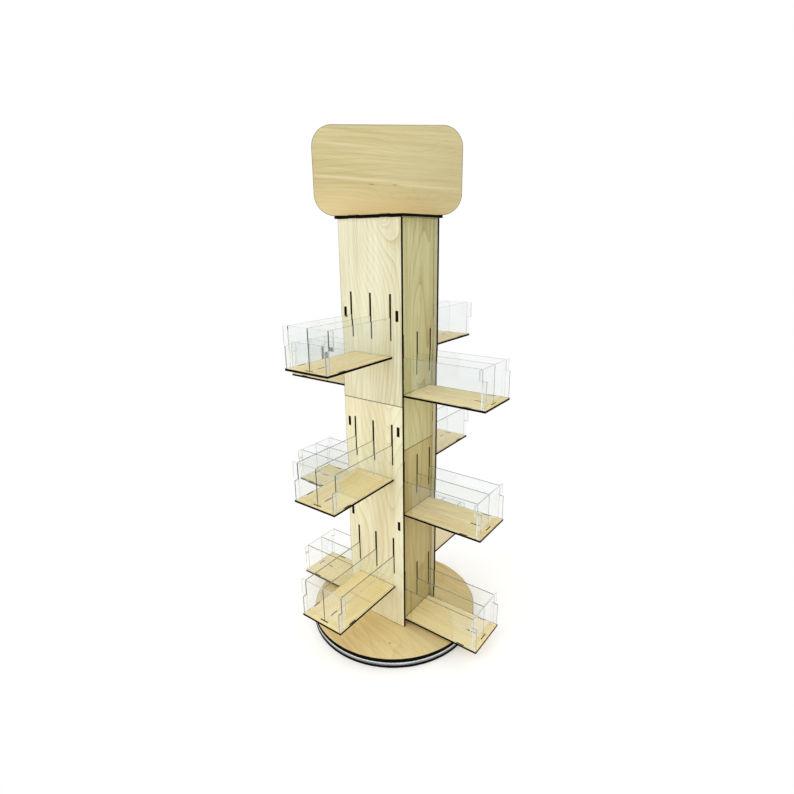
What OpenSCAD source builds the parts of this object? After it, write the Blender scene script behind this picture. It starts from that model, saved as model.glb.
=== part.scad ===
// Rotating display stand. A hollow rectangular column of slotted plywood panels
// stands on a two-layer turntable that spins on a ring bearing over a base disk.
// Twelve trays hang on its four faces: each has a plywood shelf, three clear
// dividers hooked into long slots, and a clear front plate. A header board
// stands on the top plate along its diagonal.
// Origin: centre of the stand on the floor. The front face looks along -Y.

/* [Column] */
// Width of the front and back panels
column_w = 140; // [125:1:180]
// Depth of the column over its front and back panels
column_d = 121; // [110:1:160]
// Height of the column from the turntable to the top plate
column_h = 815; // [760:1:1000]
// Plywood thickness of the column panels, ribs, top plate and header
panel_t = 5; // [4:0.5:6]
// How far the side panels lie in from the edges of the front and back panels
side_inset = 8; // [4:0.5:12]
// Height of the joint in the front and back panels above their middle hook slots
front_seam_room = 39; // [5:1:120]
// Height of the joint in the side panels above their middle hook slots
side_seam_room = 23; // [5:1:60]
// Height left free above the highest hook slots of the front and back panels
front_top_room = 128; // [60:1:200]
// Height left free above the highest hook slots of the side panels
side_top_room = 201; // [100:1:260]
// Height of a side panel tenon where it shows in the front and back panels
tenon_h = 18; // [12:1:24]
// Width of the tabs at the foot and the top of the panels
end_tab_w = 20; // [12:1:28]
// How far the panel tabs stand proud of the top plate
tab_proud = 1; // [0.5:0.5:2]
// Width of the solid frame of a rib inside the column
rib_rim = 17; // [12:1:20]
// Height of the strips glued behind the side panel joints
splice_h = 40; // [24:1:44]
// Width of the strips glued behind the side panel joints
splice_w = 30; // [16:1:36]

/* [Trays] */
// Height of the lowest front and back shelves above the turntable
front_tier_h = 92; // [80:1:100]
// Height of the lowest side shelves above the turntable
side_tier_h = 11; // [8:1:20]
// How far a shelf reaches out from its panel
tray_l = 169; // [130:1:200]
// Width of a shelf
shelf_w = 96; // [94:1:104]
// Plywood thickness of a shelf
shelf_t = 4; // [3:0.5:6]
// Distance from one divider to the next
divider_pitch = 45; // [36:1:46]
// Height of the dividers and the front plate above the shelf
divider_h = 70; // [60:1:85]
// Thickness of the clear sheet
acrylic_t = 2.5; // [2:0.5:3]
// Distance from the front edge of a shelf to its front plate
plate_setback = 8; // [5:0.5:14]
// Width of a front plate over its two wings
plate_w = 111; // [104:1:120]
// Height at which the wings rest on the dividers of the front and back trays
front_step_h = 38; // [25:1:55]
// Height at which the wings rest on the dividers of the side trays
side_step_h = 50; // [25:1:55]
// Distance from the front edge of a shelf to the noses of its outer dividers
nose_setback = 1; // [0.5:0.5:4]
// Length of the tab that holds a divider in its shelf
divider_tab_l = 16; // [10:1:24]
// Distance from the front edge of a shelf to the middle of a divider tab
divider_tab_setback = 36; // [28:1:60]
// Width of the tab that holds a front plate in its shelf
plate_tab_w = 18; // [10:1:26]

/* [Hooks] */
// Height of the foot of a hook slot above the shelf
slot_foot_h = 29; // [26:1:36]
// Length of the hook that hangs down behind the panel
hook_drop = 32; // [15:1:38]
// Width of the hook behind the panel
hook_arm = 8; // [6:0.5:8.5]
// Room left over the hooks once their tray is lifted far enough to pull out
lift_play = 9; // [2:1:12]

/* [Top] */
// How far the top plate reaches past the side edges of the column
top_over_w = 5; // [1:0.5:15]
// How far the top plate reaches past the front and back of the column
top_over_d = 3; // [1:0.5:15]
// Width of the header board
header_w = 265; // [200:1:360]
// Height of the header board
header_h = 148; // [90:1:220]
// Corner radius of the header board
header_r = 36; // [10:1:44]
// Width of the tabs under the header board
header_tab_w = 24; // [15:1:30]
// Distance between the middles of the two header tabs
header_tab_gap = 80; // [50:1:84]
// Length of the battens that clamp the header tabs
batten_l = 112; // [110:1:118]
// Height and thickness of a batten
batten_t = 10; // [6:0.5:12]

/* [Turntable] */
// Radius of the two turntable disks and the base disk
disk_r = 178; // [172:1:230]
// Thickness of one plywood disk
disk_t = 4; // [3:0.5:6]
// Height of the ring bearing from the base disk to the turntable
bearing_h = 8.5; // [7.5:0.5:12]
// How far the bearing lies in from the rim of the disks
bearing_inset = 0.5; // [0.5:0.5:8]
// Radial width of each bearing ring
race_w = 17.5; // [14:0.5:24]
// Corner radius of the outer bearing ring
race_round = 2; // [1:0.25:3]
// Radius of a bearing ball
ball_r = 2.5; // [1.5:0.25:3]
// Number of bearing balls
ball_count = 36; // [12:1:60]
// Number of screws in each bearing ring
screw_count = 6; // [3:1:8]
// Shank radius of a screw
screw_r = 1.8; // [1.25:0.05:2.1]
// Head radius of a screw
screw_head_r = 3.6; // [3:0.1:4.5]
// Length of a screw
screw_l = 9; // [7:0.5:9]
// Thickness of the non-slip pads under the base disk
pad_h = 1.5; // [1:0.5:4]
// Radius of a non-slip pad
pad_r = 10; // [6:1:14]
// Number of non-slip pads
pad_count = 6; // [3:1:8]

/* [Hidden] */
SIDES = ["front", "right", "back", "left"];
TIERS = ["low", "middle", "high"];
side_ids = [0:len(SIDES) - 1];
tier_ids = [0:len(TIERS) - 1];

// Running gap between a tray and its panel, and between a hook and its panel
tray_gap = 0.4;
// Clearance on each side of a divider in its hook slot
hook_clear = 0.3;
// Clearance between a hook and the end of its notch in a rib
notch_clear = 0.6;
// Clearance on each side of a glued tab in its slot
tab_clear = 0.1;
// Running gap between the fixed and the turning parts of the bearing
run_gap = 0.5;
// Clearance between a ball and its grooves
ball_clear = 0.15;
// Clearance around a screw shank
screw_clear = 0.15;
// Clearance between a screw head and its seat
head_clear = 0.05;
// How far a cutter runs past the surface that it cuts
over = 1;
$fn = 96;

// Shares of a side panel's height at which its tenons sit
lower_tenon_shares = [0.6];
upper_tenon_shares = [0.1, 0.61];
// Share of the half width of a panel at which its end tabs sit
end_tab_share = 0.5;
// Share of the disk radius at which the pads sit
pad_share = 0.8;

pad_ring_r = pad_share * disk_r;
base_z = pad_h;
bearing_z = base_z + disk_t;
turn_z = bearing_z + bearing_h;
column_z = turn_z + 2 * disk_t;
top_z = column_z + column_h;
header_z = top_z + panel_t;

inner_d = column_d - 2 * panel_t;
side_face = column_w / 2 - side_inset;
side_mid = side_face - panel_t / 2;
inner_w = 2 * (side_face - panel_t);

tab_slot = panel_t + 2 * tab_clear;
tab_run = panel_t + tab_proud;
hook_slot_w = acrylic_t + 2 * hook_clear;
slot_h = divider_h - slot_foot_h + hook_drop + lift_play;
slot_top_h = slot_foot_h + slot_h;
plate_back = tray_l - plate_setback - acrylic_t;
hook_back = panel_t + tray_gap;
notch_d = tray_gap + hook_arm + notch_clear;

tier_steps = len(TIERS) - 1;
front_tier_gap = (column_h - front_top_room - slot_top_h - front_tier_h) / tier_steps;
side_tier_gap = (column_h - side_top_room - slot_top_h - side_tier_h) / tier_steps;
front_seam_h = tier_h(0, 1) + slot_top_h + front_seam_room;
side_seam_h = tier_h(1, 1) + slot_top_h + side_seam_room;
low_rib_h = (tier_h(0, 0) + slot_top_h + tier_h(1, 1) + slot_foot_h - hook_drop) / 2;
high_rib_h = column_h - front_top_room / 2;
rib_heights = [low_rib_h, front_seam_h, high_rib_h];

diagonal = atan2(column_d, column_w);

bearing_r = disk_r - bearing_inset;
race_ball_r = bearing_r - race_w - run_gap - ball_r / 2;
inner_race_r = race_ball_r - ball_r / 2 - run_gap;
ball_z = bearing_z + bearing_h / 2;
outer_screw_r = bearing_r - race_w / 2 + ball_r / 4;
inner_screw_r = inner_race_r - race_w / 2 - ball_r / 4;

function tier_h(side, tier) = side % 2 == 0 ? front_tier_h + tier * front_tier_gap
                                            : side_tier_h + tier * side_tier_gap;
function step_h(side) = side % 2 == 0 ? front_step_h : side_step_h;
function face_at(side) = side % 2 == 0 ? column_d / 2 : side_face;
function piece_name(side, tier, piece) = str(SIDES[side], "_", TIERS[tier], "_", piece);

COLUMN = ["front_lower_panel", "front_upper_panel", "back_lower_panel", "back_upper_panel",
          "right_lower_panel", "right_upper_panel", "left_lower_panel", "left_upper_panel",
          "column_ribs", "seam_splices"];
TOP = ["top_plate", "header_board", "header_battens"];
TURNTABLE = ["upper_disk", "lower_disk", "inner_race", "bearing_balls", "outer_race",
             "base_disk", "turntable_screws", "base_screws", "base_pads"];
TRAYS = [for (side = side_ids, tier = tier_ids, piece = ["shelf", "dividers", "plate"])
         piece_name(side, tier, piece)];

module ply(shade = "BurlyWood") {
    color(shade) children();
}

module clear_sheet() {
    color([0.85, 0.93, 0.92, 0.5]) children();
}

// A flat outline of width along X and height along Y, stood up with its middle at y
module stood_up(y, t) {
    translate([0, y + t / 2, 0]) rotate([90, 0, 0]) linear_extrude(t) children();
}

module centred(w, h) {
    translate([-w / 2, 0]) square([w, h]);
}

module around(count, r, turn = 0) {
    for (i = [0:count - 1]) rotate(turn + i * 360 / count) translate([r, 0, 0]) children();
}

// Column

module hook_slots(side) {
    for (tier = tier_ids, column = [-1:1])
        translate([column * divider_pitch, tier_h(side, tier) + slot_foot_h])
            centred(hook_slot_w, slot_h);
}

module end_tabs(w, span, count) {
    spread = count == 1 ? [0] : [-1, 1];
    for (i = spread) translate([i * end_tab_share * w / 2, 0]) centred(end_tab_w, span);
}

module tenon_places() {
    for (share = lower_tenon_shares) translate([0, share * side_seam_h]) children();
    for (share = upper_tenon_shares)
        translate([0, side_seam_h + share * (column_h - side_seam_h)]) children();
}

module wide_outline(side, from_h, to_h) {
    difference() {
        union() {
            translate([0, from_h]) centred(column_w, to_h - from_h);
            if (from_h == 0) translate([0, -disk_t]) end_tabs(column_w, disk_t + over, 2);
            if (to_h == column_h) translate([0, column_h - over]) end_tabs(column_w, tab_run + over, 2);
        }
        hook_slots(side);
        for (i = [-1, 1]) translate([i * side_mid, 0])
            tenon_places() translate([-tab_slot / 2, -tenon_h / 2 - tab_clear])
                square([tab_slot, tenon_h + 2 * tab_clear]);
    }
}

module narrow_outline(side, from_h, to_h) {
    difference() {
        union() {
            translate([0, from_h]) centred(inner_d, to_h - from_h);
            if (from_h == 0) translate([0, -disk_t]) end_tabs(inner_d, disk_t + over, 1);
            if (to_h == column_h) translate([0, column_h - over]) end_tabs(inner_d, tab_run + over, 1);
            intersection() {
                tenon_places() translate([0, -tenon_h / 2]) centred(column_d, tenon_h);
                translate([0, from_h]) centred(column_d, to_h - from_h);
            }
        }
        hook_slots(side);
    }
}

module column_panel(side, upper) {
    seam = side % 2 == 0 ? front_seam_h : side_seam_h;
    from_h = upper ? seam : 0;
    to_h = upper ? column_h : seam;
    rotate(side * 90) translate([0, 0, column_z]) {
        if (side % 2 == 0) {
            ply() stood_up(-(column_d - panel_t) / 2, panel_t) wide_outline(side, from_h, to_h);
        } else {
            ply("Tan") stood_up(-side_mid, panel_t) narrow_outline(side, from_h, to_h);
        }
    }
}

// A rib touches each panel between the outer hooks, and is notched for the middle one
module rib_outline() {
    between = 2 * divider_pitch - hook_slot_w;
    difference() {
        union() {
            square([inner_w - 2 * notch_d, inner_d - 2 * notch_d], center = true);
            square([between, inner_d], center = true);
            square([inner_w, between], center = true);
        }
        square([inner_w - 2 * rib_rim, inner_d - 2 * rib_rim], center = true);
        for (i = [-1, 1]) {
            translate([0, i * inner_d / 2]) square([hook_slot_w, 2 * notch_d], center = true);
            translate([i * inner_w / 2, 0]) square([2 * notch_d, hook_slot_w], center = true);
        }
    }
}

module column_ribs() {
    ply() for (h = rib_heights)
        translate([0, 0, column_z + h - panel_t / 2]) linear_extrude(panel_t) rib_outline();
}

module seam_splices() {
    ply() for (i = [-1, 1], j = [-1, 1])
        translate([i * (inner_w - panel_t) / 2, j * divider_pitch / 2, column_z + side_seam_h])
            cube([panel_t, splice_w, splice_h], center = true);
}

// Top

module header_tab_places() {
    for (i = [-1, 1]) translate([i * header_tab_gap / 2, 0]) children();
}

module top_plate() {
    ply() translate([0, 0, top_z]) linear_extrude(panel_t) difference() {
        square([column_w + 2 * top_over_w, column_d + 2 * top_over_d], center = true);
        for (i = [-1, 1], j = [-1, 1])
            translate([i * end_tab_share * column_w / 2, j * (column_d - panel_t) / 2])
                square([end_tab_w + 2 * tab_clear, tab_slot], center = true);
        for (i = [-1, 1]) translate([i * side_mid, 0])
            square([tab_slot, end_tab_w + 2 * tab_clear], center = true);
        rotate(diagonal) header_tab_places()
            square([header_tab_w + 2 * tab_clear, tab_slot], center = true);
    }
}

module header_board() {
    w = header_w / 2 - header_r;
    ply() rotate(diagonal) translate([0, 0, header_z]) stood_up(0, panel_t) union() {
        centred(header_w - 2 * header_r, header_h);
        translate([0, header_r]) centred(header_w, header_h - 2 * header_r);
        for (x = [-w, w], y = [header_r, header_h - header_r]) translate([x, y]) circle(header_r);
        header_tab_places() translate([0, -panel_t - batten_t])
            centred(header_tab_w, panel_t + batten_t + over);
    }
}

module header_battens() {
    ply("Tan") rotate(diagonal) for (i = [-1, 1])
        translate([0, i * (panel_t + batten_t) / 2, top_z - batten_t / 2])
            cube([batten_l, batten_t, batten_t], center = true);
}

// Turntable and base

module foot_tab_slots() {
    for (i = [-1, 1], j = [-1, 1])
        translate([i * end_tab_share * column_w / 2, j * (column_d - panel_t) / 2])
            square([end_tab_w + 2 * tab_clear, tab_slot], center = true);
    for (i = [-1, 1]) translate([i * side_mid, 0])
        square([tab_slot, end_tab_w + 2 * tab_clear], center = true);
}

module upper_disk() {
    ply() translate([0, 0, turn_z + disk_t]) linear_extrude(disk_t) difference() {
        circle(disk_r);
        foot_tab_slots();
    }
}

// A countersunk screw with its head's flat face at z = 0, pointing down
module screw(grow, head_grow, run) {
    sink = screw_head_r - screw_r;
    translate([0, 0, -screw_l - run]) cylinder(r = screw_r + grow, h = screw_l + run);
    translate([0, 0, -sink]) cylinder(r1 = screw_r, r2 = screw_head_r + head_grow, h = sink + head_grow);
}

module turntable_screw_places() {
    around(screw_count, inner_screw_r) translate([0, 0, turn_z + disk_t]) children();
}

module base_screw_places() {
    around(screw_count, outer_screw_r, 180 / screw_count)
        translate([0, 0, base_z]) rotate([180, 0, 0]) children();
}

module lower_disk() {
    ply() difference() {
        translate([0, 0, turn_z]) cylinder(r = disk_r, h = disk_t);
        turntable_screw_places() screw(screw_clear, head_clear, run_gap);
    }
}

module ball_groove() {
    rotate_extrude() translate([race_ball_r, ball_z]) circle(ball_r + ball_clear, $fn = 48);
}

module inner_race() {
    color("Silver") difference() {
        translate([0, 0, bearing_z + run_gap]) difference() {
            cylinder(r = inner_race_r, h = bearing_h - run_gap);
            translate([0, 0, -over]) cylinder(r = inner_race_r - race_w, h = bearing_h + 2 * over);
        }
        ball_groove();
        turntable_screw_places() screw(screw_clear, head_clear, run_gap);
    }
}

module outer_race() {
    h = bearing_h - run_gap;
    inner = bearing_r - race_w;
    color("Silver") difference() {
        rotate_extrude() translate([0, bearing_z]) union() {
            translate([inner, 0]) square([race_w - race_round, h]);
            translate([inner, race_round]) square([race_w, h - 2 * race_round]);
            for (y = [race_round, h - race_round]) translate([bearing_r - race_round, y])
                circle(race_round, $fn = 32);
        }
        ball_groove();
        base_screw_places() screw(screw_clear, head_clear, run_gap);
    }
}

module bearing_balls() {
    color("Gainsboro") around(ball_count, race_ball_r) translate([0, 0, ball_z]) sphere(ball_r, $fn = 24);
}

module base_disk() {
    ply() difference() {
        translate([0, 0, base_z]) cylinder(r = disk_r, h = disk_t);
        base_screw_places() screw(screw_clear, head_clear, run_gap);
    }
}

module turntable_screws() {
    color("DimGray") turntable_screw_places() screw(0, 0, 0);
}

module base_screws() {
    color("DimGray") base_screw_places() screw(0, 0, 0);
}

module base_pads() {
    color("DarkSlateGray") around(pad_count, pad_ring_r) cylinder(r = pad_r, h = pad_h);
}

// Trays

module at_tray(side, tier) {
    rotate(side * 90) translate([0, -face_at(side), column_z + tier_h(side, tier)]) children();
}

module shelf(side, tier) {
    slot_w = acrylic_t + 2 * tab_clear;
    ply("Wheat") at_tray(side, tier) translate([0, 0, -shelf_t]) linear_extrude(shelf_t) difference() {
        translate([-shelf_w / 2, -tray_l]) square([shelf_w, tray_l - tray_gap]);
        for (column = [-1:1])
            translate([column * divider_pitch, divider_tab_setback - tray_l])
                square([slot_w, divider_tab_l + 2 * tab_clear], center = true);
        translate([0, -plate_back - acrylic_t / 2])
            square([plate_tab_w + 2 * tab_clear, slot_w], center = true);
    }
}

// Side view of a divider: u runs out from the panel, v runs up from the shelf
module divider_outline(side, outer) {
    translate([tray_gap, 0]) square([plate_back - tray_gap, divider_h]);
    if (outer) square_from(plate_back - over, 0, tray_l - nose_setback, step_h(side));
    square_from(-hook_back - over, slot_foot_h, tray_gap + over, divider_h);
    square_from(-hook_back - hook_arm, slot_foot_h - hook_drop, -hook_back, divider_h);
    square_from(tray_l - divider_tab_setback - divider_tab_l / 2, -shelf_t,
                tray_l - divider_tab_setback + divider_tab_l / 2, over);
}

module square_from(u0, v0, u1, v1) {
    translate([u0, v0]) square([u1 - u0, v1 - v0]);
}

module dividers(side, tier) {
    clear_sheet() at_tray(side, tier) for (column = [-1:1])
        translate([column * divider_pitch + acrylic_t / 2, 0, 0])
            rotate([90, 0, -90]) linear_extrude(acrylic_t) divider_outline(side, column != 0);
}

module plate(side, tier) {
    step = step_h(side);
    between = 2 * divider_pitch - acrylic_t;
    clear_sheet() at_tray(side, tier) stood_up(-plate_back - acrylic_t / 2, acrylic_t) union() {
        translate([0, step]) centred(plate_w, divider_h - step);
        centred(between, divider_h);
        translate([0, -shelf_t]) centred(plate_tab_w, shelf_t + over);
    }
}

column_panel(0, false);  // front_lower_panel
column_panel(0, true);  // front_upper_panel
column_panel(1, false);  // right_lower_panel
column_panel(1, true);  // right_upper_panel
column_panel(2, false);  // back_lower_panel
column_panel(2, true);  // back_upper_panel
column_panel(3, false);  // left_lower_panel
column_panel(3, true);  // left_upper_panel
column_ribs();
seam_splices();
top_plate();
header_board();
header_battens();
upper_disk();
lower_disk();
inner_race();
bearing_balls();
outer_race();
base_disk();
turntable_screws();
base_screws();
base_pads();
for (side = side_ids, tier = tier_ids) {
    shelf(side, tier);
    dividers(side, tier);
    plate(side, tier);
}
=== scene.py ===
"""Looks of the rotating display stand: laser-cut plywood, clear acrylic trays, ring bearing."""

import itertools
import math

import bmesh
import bpy
from mathutils import Matrix, Vector


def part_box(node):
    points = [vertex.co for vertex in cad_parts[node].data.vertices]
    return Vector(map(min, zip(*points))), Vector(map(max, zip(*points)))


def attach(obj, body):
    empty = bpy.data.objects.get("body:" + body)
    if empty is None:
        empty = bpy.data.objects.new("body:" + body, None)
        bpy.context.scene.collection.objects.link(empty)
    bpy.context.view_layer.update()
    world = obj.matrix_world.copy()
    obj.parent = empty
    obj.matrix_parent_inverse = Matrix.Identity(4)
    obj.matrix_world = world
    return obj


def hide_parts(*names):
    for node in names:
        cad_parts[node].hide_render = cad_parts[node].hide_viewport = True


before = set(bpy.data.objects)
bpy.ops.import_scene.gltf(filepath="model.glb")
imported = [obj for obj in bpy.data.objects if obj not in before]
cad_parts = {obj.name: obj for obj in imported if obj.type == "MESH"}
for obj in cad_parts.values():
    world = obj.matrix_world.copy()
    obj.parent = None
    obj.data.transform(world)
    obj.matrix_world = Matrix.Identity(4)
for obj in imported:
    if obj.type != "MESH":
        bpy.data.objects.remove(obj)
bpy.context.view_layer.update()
MM = 0.001

# Viewpoint
# The stand is seen from a little above the middle tiers, across the corner
# between its front and its right side.
CAMERA_AT = Vector((0.5997, -0.8010, 0.8015))
CAMERA_YAW = math.radians(36.19)
CAMERA_PITCH = math.radians(-16.82)
CAMERA_ROLL = math.radians(-0.635)
FOCAL_PIXELS = 523.0
FRAME_PIXELS = 794.0
SENSOR_WIDTH = 36.0

forward = Vector((
    -math.sin(CAMERA_YAW) * math.cos(CAMERA_PITCH),
    math.cos(CAMERA_YAW) * math.cos(CAMERA_PITCH),
    math.sin(CAMERA_PITCH),
))
level = Vector((math.cos(CAMERA_YAW), math.sin(CAMERA_YAW), 0.0))
upright = level.cross(forward)
right = level * math.cos(CAMERA_ROLL) + upright * math.sin(CAMERA_ROLL)
up = upright * math.cos(CAMERA_ROLL) - level * math.sin(CAMERA_ROLL)
aim = Matrix((right, up, -forward)).transposed().to_4x4()
lens = bpy.data.cameras.new("camera")
lens.sensor_width = SENSOR_WIDTH
lens.lens = SENSOR_WIDTH * FOCAL_PIXELS / FRAME_PIXELS
camera = bpy.data.objects.new("camera", lens)
camera.matrix_world = Matrix.Translation(CAMERA_AT) @ aim
bpy.context.scene.collection.objects.link(camera)
bpy.context.scene.camera = camera
bpy.context.scene.view_settings.view_transform = "Standard"

# Base pads
# Six round rubber pads, stuck under the base disk, keep the stand from sliding.
# Each is moulded with a rounded rim and two shallow rings in its foot.
PAD_EDGE = 0.35 * MM
PAD_EDGE_SHARE = 0.3
PAD_RING_SHARES = (0.45, 0.75)
PAD_RING_W = 0.5 * MM
PAD_RING_DEPTH = 0.25 * MM
PAD_RING_OUTLINE_SHARES = ((-1.0, 0.0), (-0.5, 1.0), (0.5, 1.0), (1.0, 0.0))
PAD_STEPS = 48
PAD_CREASE_DEGREES = 35.0
WELD = 0.002 * MM
ANGLE_SLIP = 0.001
RUBBER = (0.022, 0.023, 0.025, 1.0)
RUBBER_ROUGH = (0.75, 0.95)
RUBBER_GRIT_DEPTH = 0.05 * MM
# A noise is given as its cells to the metre along each axis, then its detail
# and its roughness. Most of its values lie within the span.
RUBBER_GRIT = ((2500.0, 2500.0, 2500.0), 3.0, 0.5)
NOISE_SPAN = (0.3, 0.7)


def add(tree, kind, sockets=None, **settings):
    """A new node with its settings and its inputs, which are values or other nodes' outputs."""
    node = tree.nodes.new(kind)
    for key, value in settings.items():
        setattr(node, key, value)
    for key, value in (sockets or {}).items():
        if isinstance(value, bpy.types.NodeSocket):
            tree.links.new(value, node.inputs[key])
        else:
            node.inputs[key].default_value = value
    return node


def maths(tree, operation, a, b=0.0, clamp=False):
    return add(tree, "ShaderNodeMath", {0: a, 1: b}, operation=operation, use_clamp=clamp).outputs[0]


def noise(tree, vector, cells, detail, rough):
    """Noise on a vector, with its own number of cells to the metre along each axis."""
    scaled = add(tree, "ShaderNodeVectorMath", {0: vector, 1: cells}, operation="MULTIPLY").outputs[0]
    return add(tree, "ShaderNodeTexNoise",
               {"Vector": scaled, "Scale": 1.0, "Detail": detail, "Roughness": rough}).outputs["Fac"]


def remap(tree, value, span, result=(0.0, 1.0), smooth=False):
    """Stretches a span of the value to the result's span, and holds it at both ends."""
    limits = {"From Min": span[0], "From Max": span[1], "To Min": result[0], "To Max": result[1]}
    kind = "SMOOTHSTEP" if smooth else "LINEAR"
    mapped = add(tree, "ShaderNodeMapRange", {"Value": value, **limits}, interpolation_type=kind)
    return mapped.outputs["Result"]


def blend_colour(tree, share, a, b):
    return add(tree, "ShaderNodeMix", {0: share, 6: a, 7: b}, data_type="RGBA").outputs[2]


def bump(tree, height, distance, strength):
    return add(tree, "ShaderNodeBump",
               {"Height": height, "Distance": distance, "Strength": strength}).outputs["Normal"]


def material(name, **shader):
    """A new material, its node tree and its Principled shader with these constant inputs."""
    made = bpy.data.materials.new(name)
    made.use_nodes = True
    tree = made.node_tree
    principled = tree.nodes["Principled BSDF"]
    for key, value in shader.items():
        principled.inputs[key.replace("_", " ")].default_value = value
    return made, tree, principled


def object_vector(tree):
    return add(tree, "ShaderNodeTexCoord").outputs["Object"]


def rubber():
    made, tree, shader = material("pad_rubber", Base_Color=RUBBER, Roughness=0.85)
    grit = noise(tree, object_vector(tree), *RUBBER_GRIT)
    tree.links.new(remap(tree, grit, NOISE_SPAN, RUBBER_ROUGH), shader.inputs["Roughness"])
    tree.links.new(bump(tree, grit, RUBBER_GRIT_DEPTH, strength=0.6), shader.inputs["Normal"])
    return made


def mesh_object(name, bm, materials=()):
    mesh = bpy.data.meshes.new(name)
    bm.to_mesh(mesh)
    bm.free()
    for one in materials:
        mesh.materials.append(one)
    made = bpy.data.objects.new(name, mesh)
    bpy.context.scene.collection.objects.link(made)
    return made


def lathe(bm, outline, steps):
    """Turns an outline of (radius, height) points about Z into a closed skin."""
    turns = [2 * math.pi * i / steps for i in range(steps)]
    rings = []
    for radius, z in outline:
        if radius == 0.0:
            rings.append([bm.verts.new((0.0, 0.0, z))])
        else:
            rings.append([bm.verts.new((radius * math.cos(a), radius * math.sin(a), z)) for a in turns])
    for low, high in zip(rings, rings[1:]):
        for i in range(steps):
            j = (i + 1) % steps
            corners = [low[i % len(low)], low[j % len(low)], high[j % len(high)], high[i % len(high)]]
            bm.faces.new(list(dict.fromkeys(corners))).smooth = True
    bmesh.ops.recalc_face_normals(bm, faces=bm.faces)


def sharpen(bm, degrees):
    """Marks the edges that turn more than this as sharp."""
    for edge in bm.edges:
        if len(edge.link_faces) == 2 and edge.calc_face_angle() > math.radians(degrees):
            edge.smooth = False


def apply_modifiers(piece):
    """The piece's mesh becomes what its modifiers make of it, and they are removed."""
    shown = piece.evaluated_get(bpy.context.evaluated_depsgraph_get())
    mesh = bpy.data.meshes.new_from_object(shown)
    piece.modifiers.clear()
    piece.data = mesh


def ring_places(node):
    """Count, ring radius and start angle of the like solids in a node."""
    bm = bmesh.new()
    bm.from_mesh(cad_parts[node].data)
    bmesh.ops.remove_doubles(bm, verts=bm.verts, dist=WELD)
    left = set(bm.verts)
    centres = []
    while left:
        island = []
        queue = [left.pop()]
        while queue:
            vert = queue.pop()
            island.append(vert)
            near = [edge.other_vert(vert) for edge in vert.link_edges]
            queue += [other for other in near if other in left]
            left.difference_update(near)
        low = Vector(map(min, zip(*(v.co for v in island))))
        high = Vector(map(max, zip(*(v.co for v in island))))
        centres.append((low + high) / 2)
    bm.free()
    turn = 2 * math.pi / len(centres)
    angles = [math.atan2(c.y, c.x) % turn for c in centres]
    start = min(angle if turn - angle > ANGLE_SLIP else 0.0 for angle in angles)
    return len(centres), sum(c.xy.length for c in centres) / len(centres), start


def ring_tree(name, made_of):
    """Geometry nodes that set copies of a piece round a circle and turn each to face outwards."""
    tree = bpy.data.node_groups.new(name, "GeometryNodeTree")
    face = tree.interface
    face.new_socket("Geometry", in_out="INPUT", socket_type="NodeSocketGeometry")
    face.new_socket("Count", in_out="INPUT", socket_type="NodeSocketInt")
    for label in ("Radius", "Start angle", "Height"):
        face.new_socket(label, in_out="INPUT", socket_type="NodeSocketFloat")
    face.new_socket("Geometry", in_out="OUTPUT", socket_type="NodeSocketGeometry")
    given = add(tree, "NodeGroupInput").outputs
    circle = add(tree, "GeometryNodeMeshCircle", {"Vertices": given["Count"], "Radius": given["Radius"]})
    turn = add(tree, "ShaderNodeCombineXYZ", {"Z": given["Start angle"]}).outputs[0]
    lift = add(tree, "ShaderNodeCombineXYZ", {"Z": given["Height"]}).outputs[0]
    placed = add(tree, "GeometryNodeTransform",
                 {"Geometry": circle.outputs[0], "Translation": lift, "Rotation": turn}).outputs[0]
    step = maths(tree, "DIVIDE", 2 * math.pi, given["Count"])
    index = add(tree, "GeometryNodeInputIndex").outputs[0]
    angle = maths(tree, "ADD", maths(tree, "MULTIPLY", index, step), given["Start angle"])
    spin = add(tree, "ShaderNodeCombineXYZ", {"Z": angle}).outputs[0]
    copies = add(tree, "GeometryNodeInstanceOnPoints",
                 {"Points": placed, "Instance": given["Geometry"], "Rotation": spin}).outputs[0]
    solid = add(tree, "GeometryNodeRealizeInstances", {"Geometry": copies}).outputs[0]
    coated = add(tree, "GeometryNodeSetMaterial", {"Geometry": solid, "Material": made_of}).outputs[0]
    add(tree, "NodeGroupOutput", {"Geometry": coated})
    return tree


def place_ring(piece, made_of, node, height):
    """The piece's mesh becomes a ring of copies of it, one where each of the node's solids is."""
    count, radius, start = ring_places(node)
    sizes = {"Count": count, "Radius": radius, "Start angle": start, "Height": height}
    tree = ring_tree(piece.name + "_ring", made_of)
    modifier = piece.modifiers.new("ring", "NODES")
    modifier.node_group = tree
    sockets = {item.name: item.identifier for item in tree.interface.items_tree if item.in_out == "INPUT"}
    for label, value in sizes.items():
        modifier[sockets[label]] = value
    apply_modifiers(piece)
    return piece


def settle(piece, body, node):
    """The finished piece stands for its node and rides on its body."""
    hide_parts(node)
    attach(piece, body)


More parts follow.
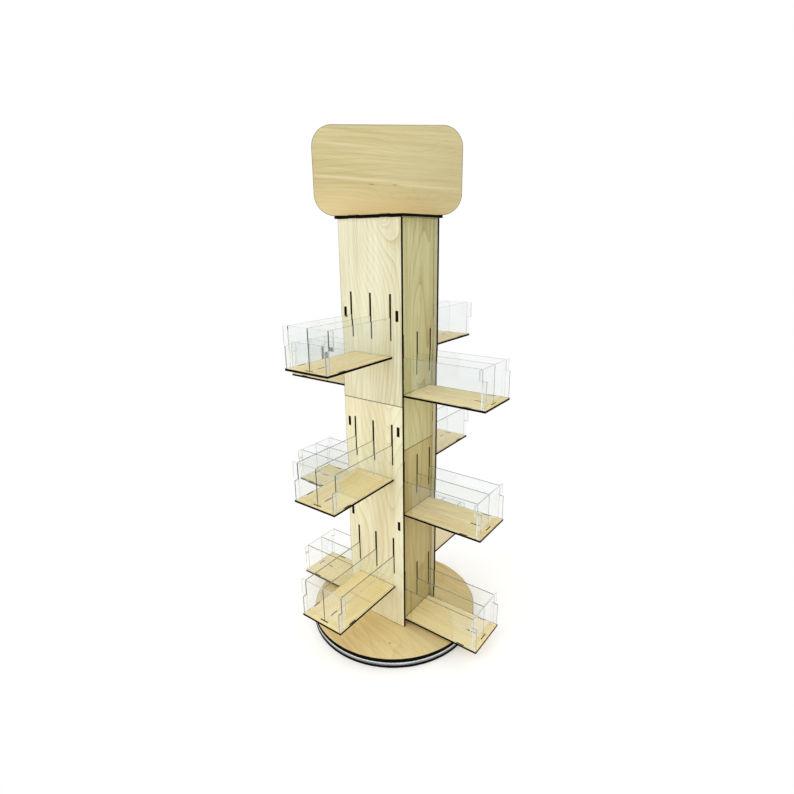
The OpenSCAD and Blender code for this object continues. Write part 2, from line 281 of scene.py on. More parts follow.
pad_low, pad_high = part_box("base_pads")
_, pad_ring_r, _ = ring_places("base_pads")
pad_r = (pad_high.x - pad_low.x) / 2 - pad_ring_r
pad_h = pad_high.z - pad_low.z
eased = PAD_EDGE_SHARE * PAD_EDGE
pad_outline = [(0.0, 0.0)]
for share in PAD_RING_SHARES:
    for out_share, deep_share in PAD_RING_OUTLINE_SHARES:
        pad_outline.append((share * pad_r + out_share * PAD_RING_W, deep_share * PAD_RING_DEPTH))
pad_outline += [(pad_r - PAD_EDGE, 0.0), (pad_r - eased, eased), (pad_r, PAD_EDGE),
                (pad_r, pad_h - PAD_EDGE), (pad_r - PAD_EDGE, pad_h), (0.0, pad_h)]
bm = bmesh.new()
lathe(bm, pad_outline, PAD_STEPS)
sharpen(bm, PAD_CREASE_DEGREES)
pad_rubber = rubber()
pads = place_ring(mesh_object("rubber_pads", bm, [pad_rubber]), pad_rubber, "base_pads", 0.0)
settle(pads, "base", "base_pads")

# Base disk
# A disk of birch plywood, cut by laser, so its faces are pale veneer and its
# edge is burnt black. It lies on the pads and carries the bearing.
ARRIS = 0.2 * MM
SCORCH = 0.8 * MM
# The base disk's charred rim runs wider than the others: partly char and partly painted shade on the
# narrow ledge at the foot of the bearing ring.
BASE_CHAR_AND_SHADE = 2.8 * MM
SHEET_CREASE_DEGREES = 30.0
# A wall or a face of a sheet is told by how squarely it faces a direction.
BROAD_FACING = 0.9
END_FACING = 0.7
# The order of a sheet's finishes.
FACES = 0
EDGES = 1
ENDS = 2
# Each board starts this much further across and along its veneer than the last.
SHEET_STEP = (0.83, 1.57, 0.0)
DISK_GRAIN = math.radians(-12.3)
DISK_PALE = (0.820, 0.690, 0.365, 1.0)
DISK_TAN = (0.600, 0.430, 0.170, 1.0)
DISK_SWIRLS = ((-0.035, 0.0, 0.035, 0.10, 3.5),)
KNOT_AND_SHADE_BROWN = (0.20, 0.10, 0.04, 1.0)
DISK_KNOTS = (
    (0.0, 0.0, 0.0022, 0.0028, 0.55, KNOT_AND_SHADE_BROWN),
    (0.012, -0.021, 0.0008, 0.003, 0.4, KNOT_AND_SHADE_BROWN),
)
# Ring lines in veneer: how steeply they fade, how many fine ones a ring holds
# and how strong these are beside it.
RING_SHARPNESS = 4.0
FINE_SHARPNESS = 3.0
FINE_LINES = 3.0
FINE_SHARE = 0.22
# Noises in veneer, with cells across the grain, along it and through the board.
# A span of each is turned into the tone, roughness or depth that follows it.
DRIFT = ((7.0, 1.2, 7.0), 1.6, 0.45)
FADE = ((9.0, 2.2, 9.0), 2.0, 0.5)
FADE_SPAN = (0.38, 0.62)
FADE_TONE = (0.45, 1.0)
PATCHES = ((11.0, 2.0, 11.0), 2.0, 0.5)
PATCH_TONE = (-0.25, 0.25)
STREAKS = ((120.0, 3.5, 60.0), 3.0, 0.6)
STREAK_TONE = (-0.5, 0.5)
FIBRES = ((1100.0, 30.0, 600.0), 3.0, 0.6)
FIBRE_TONE = (0.02, 0.38)
FIBRE_ROUGH = (0.5, 0.62)
FIBRE_DEPTH = 0.03 * MM
FLECKS = ((800.0, 110.0, 500.0), 1.0, 0.5)
FLECK_SPAN = (0.66, 0.76)
FLECK_TONE = (0.0, 0.3)
# The laser's brown smoke on the faces, and where in the rim it turns to char.
SMOKE = ((300.0, 300.0, 300.0), 2.0, 0.5)
SMOKE_SPAN = (0.2, 0.8)
SMOKE_TONE = (0.3, 0.8)
SMOKE_FADE = 2.0
SCORCH_BROWN = (0.30, 0.18, 0.08, 1.0)
CHAR_SHARES = (0.3, 0.65)
# The charred edge, with the laser's ridges, soot and lighter glue lines.
CHAR_DARK = (0.0012, 0.0010, 0.0009, 1.0)
CHAR_BROWN = (0.012, 0.0075, 0.0045, 1.0)
PLY_LAYER = 1.0 * MM
GLUE_H = 0.12 * MM
GLUE_TONE = 0.35
RIDGES = ((1600.0, 1600.0, 90.0), 2.0, 0.6)
RIDGE_SPAN = (0.35, 0.75)
RIDGE_ROUGH = (0.7, 0.92)
RIDGE_DEPTH = 0.08 * MM
SOOT = ((60.0, 60.0, 300.0), 2.0, 0.5)
SOOT_SPAN = (0.35, 0.7)
SOOT_TONE = (0.1, 0.8)


def grain(tree):
    """The board's own coordinates: across the grain, along it and through the thickness."""
    return add(tree, "ShaderNodeAttribute", attribute_name="grain").outputs["Vector"]


def mound(tree, place, x, y, half_w, half_l):
    """A smooth rise of height 1 round a place on the board."""
    off = add(tree, "ShaderNodeVectorMath", {0: place, 1: (x, y, 0.0)}, operation="SUBTRACT").outputs[0]
    scaled = add(tree, "ShaderNodeVectorMath", {0: off, 1: (1 / half_w, 1 / half_l, 0.0)},
                 operation="MULTIPLY").outputs[0]
    square = add(tree, "ShaderNodeVectorMath", {0: scaled, 1: scaled}, operation="DOT_PRODUCT")
    return maths(tree, "EXPONENT", maths(tree, "MULTIPLY", square.outputs["Value"], -1.0))


def ring_lines(tree, field, sharpness):
    """A line wherever the field passes a whole number, crisp on one side and soft on the other."""
    return maths(tree, "POWER", maths(tree, "FRACT", field), sharpness)


def veneer(name, pale, tan, rings, lean, figure, streak=0.5, swirls=(), stains_and_shade=()):
    """Peeled birch: contour-like ring lines, long streaks, fine fibres and small flecks.

    Rings is the number of ring lines that the slow drift makes, and lean is how many there are to
    the metre across the board. Figure and streak are the strengths of the lines and the streaks.
    Swirls bend the ring lines round a place, and stains are spots of another colour, some of
    them painted shade. Each has its place, half width and half length on the board, then its
    number of rings, or its strength and colour.
    """
    made, tree, shader = material(name, Roughness=0.55, Specular_IOR_Level=0.22)
    place = grain(tree)
    across = add(tree, "ShaderNodeSeparateXYZ", {0: place}).outputs[0]
    drift = maths(tree, "MULTIPLY", noise(tree, place, *DRIFT), rings)
    field = maths(tree, "ADD", drift, maths(tree, "MULTIPLY", across, lean))
    for x, y, half_w, half_l, swirl_rings in swirls:
        rise = maths(tree, "MULTIPLY", mound(tree, place, x, y, half_w, half_l), swirl_rings)
        field = maths(tree, "ADD", field, rise)
    broad = maths(tree, "MULTIPLY", ring_lines(tree, field, RING_SHARPNESS), figure)
    fine = ring_lines(tree, maths(tree, "MULTIPLY", field, FINE_LINES), FINE_SHARPNESS)
    lines = maths(tree, "ADD", broad, maths(tree, "MULTIPLY", fine, FINE_SHARE * figure))
    fade = remap(tree, noise(tree, place, *FADE), FADE_SPAN, FADE_TONE)
    patches = remap(tree, noise(tree, place, *PATCHES), NOISE_SPAN, PATCH_TONE)
    streaks = remap(tree, noise(tree, place, *STREAKS), NOISE_SPAN, STREAK_TONE)
    fibres = noise(tree, place, *FIBRES)
    tone = maths(tree, "ADD", maths(tree, "MULTIPLY", lines, fade), patches)
    tone = maths(tree, "ADD", tone, maths(tree, "MULTIPLY", streaks, streak))
    tone = maths(tree, "ADD", tone, remap(tree, fibres, NOISE_SPAN, FIBRE_TONE), clamp=True)
    colour = blend_colour(tree, tone, pale, tan)
    flecks = remap(tree, noise(tree, place, *FLECKS), FLECK_SPAN, FLECK_TONE)
    colour = blend_colour(tree, flecks, colour, tan)
    for x, y, half_w, half_l, strength, stain_or_shade in stains_and_shade:
        spot = maths(tree, "MULTIPLY", mound(tree, place, x, y, half_w, half_l), strength)
        colour = blend_colour(tree, spot, colour, stain_or_shade)
    burn = add(tree, "ShaderNodeAttribute", attribute_name="scorch").outputs["Fac"]
    smoke = remap(tree, noise(tree, place, *SMOKE), SMOKE_SPAN, SMOKE_TONE)
    brown = maths(tree, "MULTIPLY", maths(tree, "POWER", burn, SMOKE_FADE), smoke)
    colour = blend_colour(tree, brown, colour, SCORCH_BROWN)
    colour = blend_colour(tree, remap(tree, burn, CHAR_SHARES, smooth=True), colour, CHAR_BROWN)
    tree.links.new(colour, shader.inputs["Base Color"])
    tree.links.new(remap(tree, fibres, NOISE_SPAN, FIBRE_ROUGH), shader.inputs["Roughness"])
    tree.links.new(bump(tree, fibres, FIBRE_DEPTH, strength=0.5), shader.inputs["Normal"])
    return made


def burnt_edge():
    """Charred ply: near black, with the laser's fine ridges and a faint line at each glue layer."""
    made, tree, shader = material("burnt_edge", Roughness=0.8, Specular_IOR_Level=0.06)
    place = grain(tree)
    depth = add(tree, "ShaderNodeSeparateXYZ", {0: place}).outputs[2]
    glue = remap(tree, maths(tree, "PINGPONG", depth, PLY_LAYER / 2), (0.0, GLUE_H), (GLUE_TONE, 0.0))
    ridges = noise(tree, place, *RIDGES)
    soot = remap(tree, noise(tree, place, *SOOT), SOOT_SPAN, SOOT_TONE)
    tone = maths(tree, "MULTIPLY", remap(tree, ridges, RIDGE_SPAN), soot)
    tone = maths(tree, "MAXIMUM", tone, glue, clamp=True)
    tree.links.new(blend_colour(tree, tone, CHAR_DARK, CHAR_BROWN), shader.inputs["Base Color"])
    tree.links.new(remap(tree, ridges, NOISE_SPAN, RIDGE_ROUGH), shader.inputs["Roughness"])
    tree.links.new(bump(tree, ridges, RIDGE_DEPTH, strength=0.7), shader.inputs["Normal"])
    return made


def cut_sheet(node, piece_name, across, along, finishes, arris, rim, start=(0.0, 0.0, 0.0)):
    """A welded copy of a flat node, with its corners eased and a rim on its faces.

    Its finishes are for its faces, its cut edges and, if there are three, the edges across it.
    """
    across = Vector(across).normalized()
    along = Vector(along).normalized()
    through = across.cross(along)
    bm = bmesh.new()
    bm.from_mesh(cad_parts[node].data)
    bmesh.ops.remove_doubles(bm, verts=bm.verts, dist=WELD)
    bm.normal_update()
    flat = [face for face in bm.faces if abs(face.normal.dot(through)) > BROAD_FACING]
    walls = set(bm.faces) - set(flat)
    corners = {vert for face in walls for vert in face.verts}
    eased = bmesh.ops.inset_region(bm, faces=flat, thickness=arris, use_even_offset=True)["faces"]
    bm.normal_update()
    sides = {face: through * math.copysign(1.0, face.normal.dot(through)) for face in eased}
    ends = {face for face in walls if abs(face.normal.dot(across)) > END_FACING}
    ends |= {face for face in eased for edge in face.edges if ends & set(edge.link_faces)}
    for vert in corners:
        outward = [sides[face] for face in vert.link_faces if face in sides]
        if outward:
            vert.co -= outward[0] * arris
    if rim:
        bmesh.ops.inset_region(bm, faces=flat, thickness=rim, use_even_offset=True)
    bm.normal_update()
    edges = walls | set(eased)
    rim_verts = {vert for face in edges for vert in face.verts}
    for face in bm.faces:
        finish = ENDS if face in ends else EDGES if face in edges else FACES
        face.material_index = min(finish, len(finishes) - 1)
        face.smooth = face in walls
    sharpen(bm, SHEET_CREASE_DEGREES)
    bm.verts.index_update()
    scorched = [1.0 if vert in rim_verts else 0.0 for vert in bm.verts]
    piece = mesh_object(piece_name, bm, finishes)
    mesh = piece.data
    places = mesh.attributes.new("grain", "FLOAT_VECTOR", "POINT")
    for i, vert in enumerate(mesh.vertices):
        on_board = (vert.co.dot(across), vert.co.dot(along), vert.co.dot(through))
        places.data[i].vector = [place + offset for place, offset in zip(on_board, start)]
    mesh.attributes.new("scorch", "FLOAT", "POINT").data.foreach_set("value", scorched)
    return piece


sheet_numbers = itertools.count(1)
charred = burnt_edge()


def board(node, body, across, along, finish, start=None, scorch=SCORCH):
    """A plywood board in the place of its node, cut from its own stretch of veneer."""
    number = next(sheet_numbers)
    if start is None:
        start = [step * number for step in SHEET_STEP]
    piece = cut_sheet(node, node + "_board", across, along, (finish, charred), ARRIS, scorch, start)
    settle(piece, body, node)


disk_veneer = veneer("disk_veneer", DISK_PALE, DISK_TAN, rings=20.0, lean=70.0, figure=0.4,
                     swirls=DISK_SWIRLS, stains_and_shade=DISK_KNOTS)
disk_along = (math.cos(DISK_GRAIN), math.sin(DISK_GRAIN), 0.0)
disk_across = (math.sin(DISK_GRAIN), -math.cos(DISK_GRAIN), 0.0)
board("base_disk", "base", disk_across, disk_along, disk_veneer, scorch=BASE_CHAR_AND_SHADE)

# Bearing
# A flat ring bearing: two turned aluminium rings with a groove between them, in
# which steel balls run. The outer ring is screwed to the base disk.
ALUMINIUM = (0.84, 0.88, 0.900, 1.0)
ALUMINIUM_ROUGH = (0.22, 0.42)
TURNING_LINES = ((2600.0, 1.0, 2600.0), 2.0, 0.6)
TURNING_DEPTH = 0.01 * MM
# Painted reflection: the rings are painted a mottled, darker grey towards their foot, for the darker floor
# that they reflect.
PAINTED_FLOOR_REFLECTION = (0.20, 0.215, 0.225, 1.0)
PAINTED_REFLECTION_SHARES = (0.45, 0.85)
PAINTED_REFLECTION_TONE = (0.8, 0.0)
REFLECTION_MOTTLE = ((25.0, 25.0, 200.0), 2.0, 0.5)
REFLECTION_MOTTLE_TONE = (-0.1, 0.25)
BALL_STEEL = (0.62, 0.62, 0.63, 1.0)
BALL_MERIDIANS = 20
BALL_BANDS = 12
STEEL_HAZE = ((400.0, 400.0, 400.0), 2.0, 0.5)
STEEL_HAZE_SHARES = (0.7, 1.4)


def turned_aluminium():
    """Bright aluminium with fine turning lines, and a painted darker reflection of the floor on the lower
    part of the rings.
    """
    made, tree, shader = material("turned_aluminium", Base_Color=ALUMINIUM, Metallic=1.0, Roughness=0.3)
    place = add(tree, "ShaderNodeSeparateXYZ", {0: object_vector(tree)}).outputs
    flat = add(tree, "ShaderNodeCombineXYZ", {0: place[0], 1: place[1]}).outputs[0]
    out = add(tree, "ShaderNodeVectorMath", {0: flat}, operation="LENGTH").outputs["Value"]
    turning = add(tree, "ShaderNodeCombineXYZ", {0: out, 2: place[2]}).outputs[0]
    lines = noise(tree, turning, *TURNING_LINES)
    reflection_mottle = noise(tree, object_vector(tree), *REFLECTION_MOTTLE)
    low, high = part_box("outer_race")
    heights = [low.z + (high.z - low.z) * share for share in PAINTED_REFLECTION_SHARES]
    # Painted darker reflection of the floor, towards the foot of the rings.
    painted_reflection = remap(tree, place[2], heights, PAINTED_REFLECTION_TONE, smooth=True)
    painted_reflection = maths(tree, "ADD", painted_reflection, remap(tree, reflection_mottle, NOISE_SPAN, REFLECTION_MOTTLE_TONE), clamp=True)
    tree.links.new(blend_colour(tree, painted_reflection, ALUMINIUM, PAINTED_FLOOR_REFLECTION), shader.inputs["Base Color"])
    tree.links.new(remap(tree, lines, NOISE_SPAN, ALUMINIUM_ROUGH), shader.inputs["Roughness"])
    tree.links.new(bump(tree, lines, TURNING_DEPTH, strength=0.6), shader.inputs["Normal"])
    return made


def steel(name, colour, rough):
    made, tree, shader = material(name, Base_Color=colour, Metallic=1.0, Roughness=rough)
    haze = noise(tree, object_vector(tree), *STEEL_HAZE)
    spread = [share * rough for share in STEEL_HAZE_SHARES]
    tree.links.new(remap(tree, haze, NOISE_SPAN, spread), shader.inputs["Roughness"])
    return made


def coat(node, finish):
    """Gives a node that stays as it is its material."""
    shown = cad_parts[node]
    shown.data.materials.clear()
    shown.data.materials.append(finish)


aluminium = turned_aluminium()
coat("outer_race", aluminium)
coat("inner_race", aluminium)
ball_low, ball_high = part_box("bearing_balls")
ball_r = (ball_high.z - ball_low.z) / 2
bm = bmesh.new()
bmesh.ops.create_uvsphere(bm, u_segments=BALL_MERIDIANS, v_segments=BALL_BANDS, radius=ball_r)
for face in bm.faces:
    face.smooth = True
ball_steel = steel("ball_steel", BALL_STEEL, rough=0.12)
balls = place_ring(mesh_object("steel_balls", bm, [ball_steel]), ball_steel, "bearing_balls",
                   (ball_low.z + ball_high.z) / 2)
settle(balls, "base", "bearing_balls")

# Screws
# Twelve countersunk steel screws with cross recesses. Six hold the outer ring
# from under the base disk, and six hold the lower turntable disk on the inner ring.
SCREW_STEEL = (0.36, 0.36, 0.37, 1.0)
HEAD_R = 3.6 * MM
HEAD_RIM = 0.1 * MM
SHANK_R = 1.8 * MM
CORE_SHARE = 0.74
THREADS = 7
RECESS_SHARES = (0.58, 0.15)
RECESS_DEPTH = 1.3 * MM
SCREW_STEPS = 32
SCREW_CREASE_DEGREES = 40.0


def cross_cutter(name):
    """Two crossed bars, centred on the screw's head, whose lower half cuts its recess."""
    bm = bmesh.new()
    for x_share, y_share in (RECESS_SHARES, RECESS_SHARES[::-1]):
        size = Vector((x_share * HEAD_R, y_share * HEAD_R, RECESS_DEPTH)) * 2
        bar = bmesh.ops.create_cube(bm, size=1.0)["verts"]
        bmesh.ops.scale(bm, vec=size, verts=bar)
    return mesh_object(name, bm)


def screw_mesh(name, length, finish):
    """A countersunk screw with its flat head at z = 0, pointing down."""
    sink = HEAD_R - SHANK_R
    core = CORE_SHARE * SHANK_R
    pitch = (length - sink) / (THREADS + 1)
    outline = [(0.0, 0.0), (HEAD_R - HEAD_RIM, 0.0), (HEAD_R, -HEAD_RIM), (SHANK_R, -sink)]
    for turn in range(THREADS):
        top = -sink - pitch * (turn + 0.5)
        outline += [(core, top), (SHANK_R, top - pitch / 2)]
    outline += [(core, -length + pitch / 2), (0.0, -length)]
    bm = bmesh.new()
    lathe(bm, outline, SCREW_STEPS)
    sharpen(bm, SCREW_CREASE_DEGREES)
    screw = mesh_object(name, bm, [finish])
    cutter = cross_cutter(name + "_recess")
    cut = screw.modifiers.new("recess", "BOOLEAN")
    cut.operation = "DIFFERENCE"
    cut.solver = "EXACT"
    cut.use_self = True
    cut.object = cutter
    apply_modifiers(screw)
    bpy.data.objects.remove(cutter)
    return screw


screw_steel = steel("screw_steel", SCREW_STEEL, rough=0.3)
for node, body, turned_over in (("base_screws", "base", True), ("turntable_screws", "column", False)):
    low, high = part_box(node)
    screws = screw_mesh(node + "_set", high.z - low.z, screw_steel)
    if turned_over:
        screws.data.transform(Matrix.Rotation(math.pi, 4, "X"))
    place_ring(screws, screw_steel, node, low.z if turned_over else high.z)
    settle(screws, body, node)

# Turntable disks
# Two plywood disks that turn together on the inner ring. The lower one covers
# the screws, and the upper one holds the foot tabs of the column.
DISK_KNOT_AT = Vector((0.0727, -0.1139, 0.0))

knot_start = (-DISK_KNOT_AT.dot(disk_across), -DISK_KNOT_AT.dot(disk_along), 0.0)
board("lower_disk", "column", disk_across, disk_along, disk_veneer)
board("upper_disk", "column", disk_across, disk_along, disk_veneer, start=knot_start)

# Column
# Eight slotted plywood panels make a hollow column. The front and back panels
# cover the edges of the side panels, whose tenons show in them. The lower
# panels are cut from other sheets of veneer than the upper ones.
FRONT_PALE = (0.800, 0.780, 0.580, 1.0)
FRONT_TAN = (0.560, 0.480, 0.260, 1.0)
LOW_FRONT_PALE = (0.890, 0.855, 0.620, 1.0)
LOW_FRONT_TAN = (0.640, 0.530, 0.290, 1.0)
# The side veneer is partly a more olive birch and partly painted shade: it is darker than the front's
# because the sides get less light.
SIDE_PALE = (0.680, 0.650, 0.340, 1.0)
SIDE_TAN = (0.430, 0.335, 0.130, 1.0)
LOW_SIDE_PALE = (0.610, 0.520, 0.235, 1.0)
LOW_SIDE_TAN = (0.385, 0.265, 0.090, 1.0)
FRONT_SWIRLS = (
    (0.0, 0.0, 0.062, 0.105, 6.8),
    (3.0, 0.0, 0.032, 0.055, 4.5),
    (0.022, -0.014, 0.012, 0.012, 2.0),
)
SIDE_SWIRLS = ((0.0, 0.0, 0.034, 0.21, 4.5),)
# Which of its veneer's swirls a panel shows, and its place across and up the panel.
SWIRL_PLACES = {
    "front_upper_panel": (FRONT_SWIRLS[0], 0.010, 0.850),
    "front_lower_panel": (FRONT_SWIRLS[1], 0.0165, 0.0587),
    "right_upper_panel": (SIDE_SWIRLS[0], -0.0107, 0.62),
}
X = Vector((1, 0, 0))
Y = Vector((0, 1, 0))
Z = Vector((0, 0, 1))


def panel(node, across, finish):
    """A panel of the column, on its own stretch of veneer or where one of the swirls shows."""
    start = None
    if node in SWIRL_PLACES:
        swirl, out, height = SWIRL_PLACES[node]
        start = (swirl[0] - out, swirl[1] - height, 0.0)
    board(node, "column", across, Z, finish, start)


front_veneer = veneer("front_veneer", FRONT_PALE, FRONT_TAN, rings=26.0, lean=78.0, figure=0.62,
                      streak=0.45, swirls=FRONT_SWIRLS)
low_front_veneer = veneer("low_front_veneer", LOW_FRONT_PALE, LOW_FRONT_TAN, rings=24.0, lean=62.0,
                          figure=0.45, streak=0.35, swirls=FRONT_SWIRLS)
side_veneer = veneer("side_veneer", SIDE_PALE, SIDE_TAN, rings=12.0, lean=70.0, figure=0.62,
                     swirls=SIDE_SWIRLS)
low_side_veneer = veneer("low_side_veneer", LOW_SIDE_PALE, LOW_SIDE_TAN, rings=20.0, lean=70.0,
                         figure=0.45, streak=0.45)
for part, finish, side_finish in (("lower", low_front_veneer, low_side_veneer),
                                  ("upper", front_veneer, side_veneer)):
    for side in ("front", "back"):
        panel(f"{side}_{part}_panel", X, finish)
    for side in ("right", "left"):
        panel(f"{side}_{part}_panel", Y, side_finish)

# Column ribs and splices
# Three notched plywood frames hold the panels square from inside, and glued
# strips back the joints of the side panels.
board("column_ribs", "column", X, Y, side_veneer)
board("seam_splices", "column", Y, Z, side_veneer)

# Top plate and battens
# A plywood plate closes the column. Two plywood battens under it clamp the
# tabs of the header board.
board("top_plate", "column", X, Y, front_veneer)
plate_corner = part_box("top_plate")[1]
header_along = Vector((plate_corner.x, plate_corner.y, 0.0)).normalized()
board("header_battens", "column", Z, header_along, side_veneer)

# Header board
# A plain plywood board with round corners stands along the plate's diagonal.
# Its grain runs lengthwise and falls a little to one end.
HEADER_PALE = (0.715, 0.640, 0.350, 1.0)
HEADER_TAN = (0.505, 0.390, 0.160, 1.0)
HEADER_ORANGE = (0.820, 0.610, 0.300, 1.0)
HEADER_CREAM = (0.860, 0.780, 0.520, 1.0)
HEADER_FALL = math.radians(4.5)
HEADER_FLECK_H = 0.8940
HEADER_FLECK_ALONG = -0.0095
HEADER_SWIRLS = (
    (-0.022, 0.035, 0.016, 0.05, 4.0),
    (0.06, 0.055, 0.018, 0.06, 3.0),
)
HEADER_STAINS_AND_SHADE = (
    (-0.045, 0.0, 0.035, 0.16, 0.65, HEADER_ORANGE),
    # Painted shade: a broad brown spot darkens the right end of the header, where less light falls.
    (0.02, 0.13, 0.09, 0.10, 0.18, KNOT_AND_SHADE_BROWN),
    (0.006, -0.06, 0.0025, 0.10, 0.55, HEADER_CREAM),
    (0.002, 0.08, 0.0015, 0.06, 0.45, HEADER_CREAM),
    (0.060, -0.07, 0.0020, 0.07, 0.45, HEADER_CREAM),
    (-0.001, -0.021, 0.0008, 0.006, 0.75, KNOT_AND_SHADE_BROWN),
    (0.001, 0.021, 0.0006, 0.004, 0.85, KNOT_AND_SHADE_BROWN),
)

header_veneer = veneer("header_veneer", HEADER_PALE, HEADER_TAN, rings=14.0, lean=130.0, figure=0.34,
                       streak=0.45, swirls=HEADER_SWIRLS, stains_and_shade=HEADER_STAINS_AND_SHADE)
fall = math.tan(HEADER_FALL)
grain_along = (header_along - Z * fall).normalized()
grain_across = (Z + header_along * fall).normalized()
fleck_at = Z * HEADER_FLECK_H + header_along * HEADER_FLECK_ALONG
board("header_board", "column", grain_across, grain_along, header_veneer,
      start=(-fleck_at.dot(grain_across), -fleck_at.dot(grain_along), 0.0))

# Tray shelves
# Twelve plywood shelves, three on each face of the column. The low ones are
# painted paler and warmer, as painted light for the brighter light on the low
# tier. Slots near the front edge hold the tabs of dividers and plate.
SHELF_PALE = (0.930, 0.790, 0.415, 1.0)
SHELF_TAN = (0.710, 0.520, 0.200, 1.0)
# Painted light: the low shelves' veneer is paler and warmer, for the brighter light on the low tier.
PAINTED_LIGHT_SHELF_PALE = (0.980, 0.830, 0.450, 1.0)
PAINTED_LIGHT_SHELF_TAN = (0.850, 0.610, 0.240, 1.0)
SHELF_SCORCH = 0.75 * MM
SIDES = {"front": (X, Y), "right": (Y, X), "back": (X, Y), "left": (Y, X)}
TIERS = ("low", "middle", "high")

shelf_veneer = veneer("shelf_veneer", SHELF_PALE, SHELF_TAN, rings=16.0, lean=45.0, figure=0.35,
                      streak=0.45)
painted_light_shelf_veneer = veneer("painted_light_shelf_veneer", PAINTED_LIGHT_SHELF_PALE, PAINTED_LIGHT_SHELF_TAN, rings=16.0, lean=45.0,
                          figure=0.35, streak=0.45)
for side, (across, along) in SIDES.items():
    for tier in TIERS:
        name = f"{side}_{tier}"
        finish = painted_light_shelf_veneer if tier == "low" else shelf_veneer
        board(f"{name}_shelf", f"{name}_tray", across, along, finish,
              scorch=SHELF_SCORCH)

# Tray dividers and front plates
# Clear acrylic sheet, cut by laser, with half-matt cut edges. Three dividers
# hook into the panel's slots, and a front plate stands against their ends. The
# grey of those ends is partly their cut and partly a painted reflection of darker
# surroundings. On the front and back trays, the ends look darker through the
# plate, which is painted reflection too.
ACRYLIC_ARRIS = 0.12 * MM
ACRYLIC_IOR = 1.49
# The faces' grey is partly the sheet's own tint and partly painted shade, for the darker room that the
# sheet reflects.
ACRYLIC_FACE = (0.948, 0.960, 0.955, 1.0)
ACRYLIC_EDGE = (0.84, 0.89, 0.87, 1.0)
# The grey of the divider ends is partly their half-matt cut and partly a painted reflection of darker
# surroundings.
ACRYLIC_END = (0.62, 0.66, 0.64, 1.0)
ACRYLIC_BEHIND_PLATE = (0.86, 0.875, 0.865, 1.0)
ACRYLIC_SHADE = (0.97, 0.98, 0.975, 1.0)


def pass_straight(tree, surface, ray, colour):
    """Lets rays of one kind straight through the surface, tinted with a colour."""
    straight = add(tree, "ShaderNodeBsdfTransparent", {"Color": colour}).outputs[0]
    path = add(tree, "ShaderNodeLightPath").outputs[ray]
    return add(tree, "ShaderNodeMixShader", {0: path, 1: surface, 2: straight}).outputs[0]


def acrylic(name, colour, rough, clear, behind=None):
    """Clear sheet that lets the lamps and the room's own light through with a slight shade.

    Clear is the share of it that is see-through. Behind, if given, is its plain tint where it is
    seen through other acrylic.
    """
    made, tree, shader = material(name, Base_Color=colour, Roughness=rough, IOR=ACRYLIC_IOR,
                                  Transmission_Weight=clear, Specular_IOR_Level=0.3)
    surface = pass_straight(tree, shader.outputs[0], "Is Diffuse Ray", ACRYLIC_SHADE)
    surface = pass_straight(tree, surface, "Is Shadow Ray", ACRYLIC_SHADE)
    if behind:
        surface = pass_straight(tree, surface, "Is Transmission Ray", behind)
    tree.links.new(surface, tree.nodes["Material Output"].inputs["Surface"])
    return made


clear_face = acrylic("clear_acrylic_face", ACRYLIC_FACE, rough=0.0, clear=1.0)
clear_edge = acrylic("clear_acrylic_edge", ACRYLIC_EDGE, rough=0.15, clear=0.75)
frosted_edge = acrylic("frosted_acrylic_edge", ACRYLIC_EDGE, rough=0.3, clear=0.35)
end_edge = acrylic("acrylic_nose", ACRYLIC_END, rough=0.25, clear=0.6)
# Painted darker reflection for the divider ends of the front and back trays, where they are seen through
# the plate.
dark_end = acrylic("dark_acrylic_nose", ACRYLIC_END, rough=0.25, clear=0.6, behind=ACRYLIC_BEHIND_PLATE)
divider_ends = {"front": dark_end, "right": end_edge, "back": dark_end, "left": end_edge}
for side, (across, along) in SIDES.items():
    sheets = {
        "dividers": (along, (clear_face, clear_edge, divider_ends[side])),
        "plate": (across, (clear_face, frosted_edge)),
    }
    for tier in TIERS:
        for kind, (sheet_across, finishes) in sheets.items():
            node = f"{side}_{tier}_{kind}"
            sheet = cut_sheet(node, node + "_acrylic", sheet_across, Z, finishes, ACRYLIC_ARRIS, rim=0.0)
            settle(sheet, f"{side}_{tier}_tray", node)

# Studio
# A white floor in a white surround that gives even light, with soft lamps low in
# front, high in front, on the right and behind. No lamp shows in metal or
# through acrylic.
FLOOR_HALF = 6.0
FLOOR_COLOUR = (0.82, 0.82, 0.82, 1.0)
FLOOR_GLOW = 0.32
FLOOR_PLAIN_R = (0.28, 0.75)
AMBIENT = 0.78
WHITE = (1.0, 1.0, 1.0, 1.0)
# Each lamp's place, the point that it faces, its side and its power in watts.
LAMPS = {
    "key": ((-0.8, -2.0, 0.6), (0.0, 0.0, 0.3), 1.4, 12.5),
    "top": ((-0.3, -2.0, 2.9), (0.0, 0.0, 0.4), 2.6, 19.0),
    "fill": ((2.6, -0.8, 1.0), (0.0, 0.0, 0.4), 1.6, 3.0),
    "back": ((1.4, 2.4, 1.8), (0.0, 0.0, 0.1), 1.6, 11.0),
}


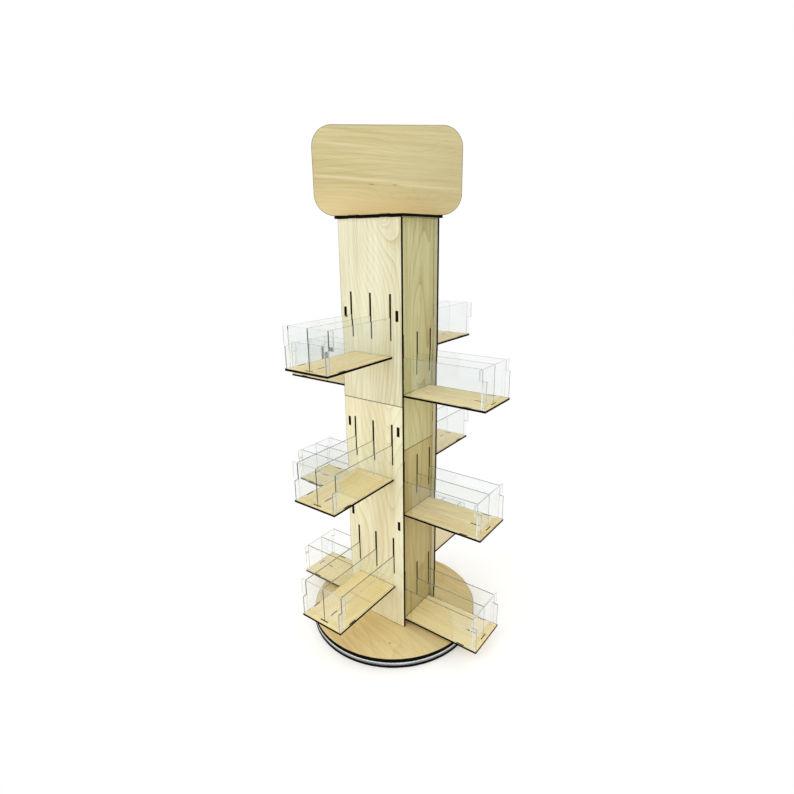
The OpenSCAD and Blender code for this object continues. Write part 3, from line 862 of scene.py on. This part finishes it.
def seen_rays(tree):
    """1 for rays that show the surround itself, to the camera, in metal or through acrylic."""
    path = add(tree, "ShaderNodeLightPath").outputs
    seen = maths(tree, "ADD", path["Is Camera Ray"], path["Is Glossy Ray"])
    return maths(tree, "ADD", seen, path["Is Transmission Ray"], clamp=True)


def floor_finish():
    """White paint that keeps the stand's shadow near it and turns plain white further out."""
    made = bpy.data.materials.new("floor")
    made.use_nodes = True
    tree = made.node_tree
    tree.nodes.clear()
    seen = seen_rays(tree)
    glow = maths(tree, "MULTIPLY", seen, FLOOR_GLOW)
    paint = add(tree, "ShaderNodeBsdfDiffuse", {"Color": FLOOR_COLOUR}).outputs[0]
    light = add(tree, "ShaderNodeEmission", {"Color": WHITE, "Strength": glow}).outputs[0]
    shaded = add(tree, "ShaderNodeAddShader", {0: paint, 1: light}).outputs[0]
    plain = add(tree, "ShaderNodeEmission", {"Color": WHITE, "Strength": 1.0}).outputs[0]
    away = add(tree, "ShaderNodeVectorMath", {0: object_vector(tree)}, operation="LENGTH").outputs["Value"]
    far = maths(tree, "MULTIPLY", remap(tree, away, FLOOR_PLAIN_R, smooth=True), seen)
    both = add(tree, "ShaderNodeMixShader", {0: far, 1: shaded, 2: plain}).outputs[0]
    add(tree, "ShaderNodeOutputMaterial", {"Surface": both})
    return made


def softbox(name, at, toward, size, power):
    lamp = bpy.data.lights.new(name, "AREA")
    lamp.size = size
    lamp.energy = power
    shown = bpy.data.objects.new(name, lamp)
    shown.location = at
    shown.rotation_euler = (Vector(toward) - Vector(at)).to_track_quat("-Z", "Y").to_euler()
    shown.visible_glossy = False
    shown.visible_transmission = False
    bpy.context.scene.collection.objects.link(shown)


bm = bmesh.new()
bmesh.ops.create_grid(bm, x_segments=1, y_segments=1, size=FLOOR_HALF)
floor = mesh_object("floor", bm, [floor_finish()])

world = bpy.data.worlds.new("surround")
bpy.context.scene.world = world
world.use_nodes = True
sky = world.node_tree
background = sky.nodes["Background"]
background.inputs["Color"].default_value = WHITE
strength = remap(sky, seen_rays(sky), (0.0, 1.0), (AMBIENT, 1.0))
sky.links.new(strength, background.inputs["Strength"])

for name, (at, toward, size, power) in LAMPS.items():
    softbox(name, at, toward, size, power)
